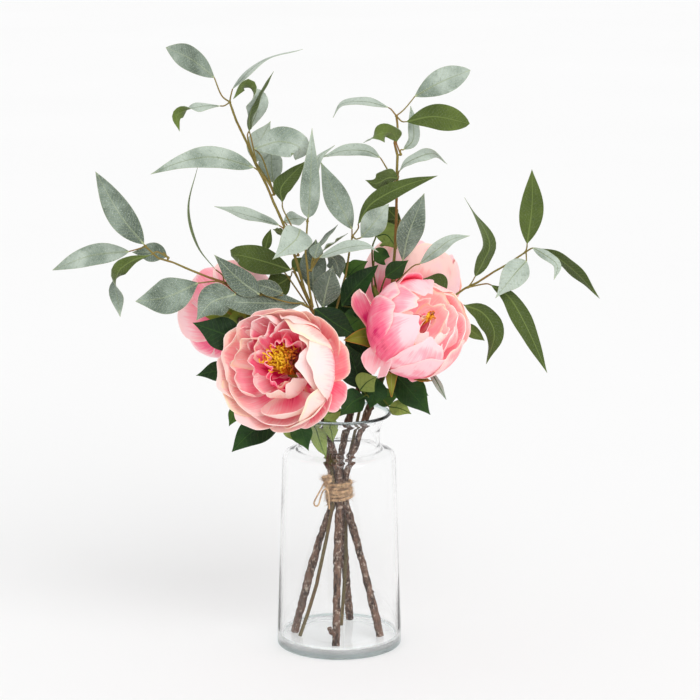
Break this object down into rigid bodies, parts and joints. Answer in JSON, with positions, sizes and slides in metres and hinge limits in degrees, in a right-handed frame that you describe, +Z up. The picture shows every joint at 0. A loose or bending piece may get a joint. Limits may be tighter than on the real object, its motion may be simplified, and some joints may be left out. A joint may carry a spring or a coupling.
{
  "type": "peonies in a vase",
  "caption": "Artificial peonies and eucalyptus sprays hand-tied with jute twine, standing free in a clear glass bottle vase with a flared mouth.",
  "frame": {"origin": "centre of the vase's foot, on the surface it stands on", "axes": "+X to the arrangement's right, +Y to its back, +Z up along the vase's axis"},
  "size_m": [0.541, 0.2159, 0.609],
  "materials": {
    "vase_glass": "clear, polished",
    "peony_bark": "grey-brown moulded bark with pale flecks",
    "eucalyptus_bark": "olive-brown, smooth, matte",
    "eucalyptus_leaf": "sage green printed polyester, olive underside",
    "peony_leaf": "dark green printed polyester with moulded veins",
    "sepal": "yellow-green with orange edges",
    "outer_petal": "pale pink printed polyester",
    "inner_petal": "deep pink to coral printed polyester",
    "stamen": "yellow to burnt orange flocked thread",
    "jute": "coarse tan twine"
  },
  "bodies": {
    "root": {"eucalyptus_branch_left": "eucalyptus_bark", "eucalyptus_branch_right": "eucalyptus_bark", "eucalyptus_shoot_centre": "eucalyptus_bark", "eucalyptus_shoot_inner": "eucalyptus_bark", "eucalyptus_stem_left": "eucalyptus_bark", "eucalyptus_stem_right": "eucalyptus_bark", "peony_back_calyx": "sepal", "peony_back_cup_petals": "inner_petal", "peony_back_outer_petals": "outer_petal", "peony_front_calyx": "sepal", "peony_front_cup_petals": "inner_petal", "peony_front_heart_petals": "inner_petal", "peony_front_outer_petals": "outer_petal", "peony_front_stamens": "stamen", "peony_leaves_back_high": "peony_leaf", "peony_leaves_back_low": "peony_leaf", "peony_leaves_front_left": "peony_leaf", "peony_leaves_front_low": "peony_leaf", "peony_leaves_front_right": "peony_leaf", "peony_leaves_right_inner": "peony_leaf", "peony_leaves_right_low": "peony_leaf", "peony_left_calyx": "sepal", "peony_left_cup_petals": "inner_petal", "peony_left_outer_petals": "outer_petal", "peony_left_stamens": "stamen", "peony_right_calyx": "sepal", "peony_right_cup_petals": "inner_petal", "peony_right_heart_petals": "inner_petal", "peony_right_outer_petals": "outer_petal", "peony_right_stamens": "stamen", "peony_stem_back": "peony_bark", "peony_stem_front": "peony_bark", "peony_stem_left": "peony_bark", "peony_stem_right": "peony_bark", "sprig_base_centre": "eucalyptus_leaf", "sprig_base_left": "eucalyptus_leaf", "sprig_base_right": "eucalyptus_leaf", "sprig_crown_centre": "eucalyptus_leaf", "sprig_crown_left": "eucalyptus_leaf", "sprig_crown_right": "eucalyptus_leaf", "sprig_hanging_left": "eucalyptus_leaf", "sprig_inner": "eucalyptus_leaf", "sprig_inner_right_branch": "eucalyptus_leaf", "sprig_lower_left": "eucalyptus_leaf", "sprig_lower_right": "eucalyptus_leaf", "sprig_middle_centre": "eucalyptus_leaf", "sprig_middle_left": "eucalyptus_leaf", "sprig_middle_right": "eucalyptus_leaf", "sprig_middle_right_branch": "eucalyptus_leaf", "sprig_outer_left": "eucalyptus_leaf", "sprig_shaded_left": "eucalyptus_leaf", "sprig_tip_left": "eucalyptus_leaf", "sprig_tip_right": "eucalyptus_leaf", "sprig_upper_left": "eucalyptus_leaf", "sprig_upper_right": "eucalyptus_leaf", "twine_bow": "jute", "twine_wrap": "jute", "vase": "vase_glass"}
  },
  "joints": []
}
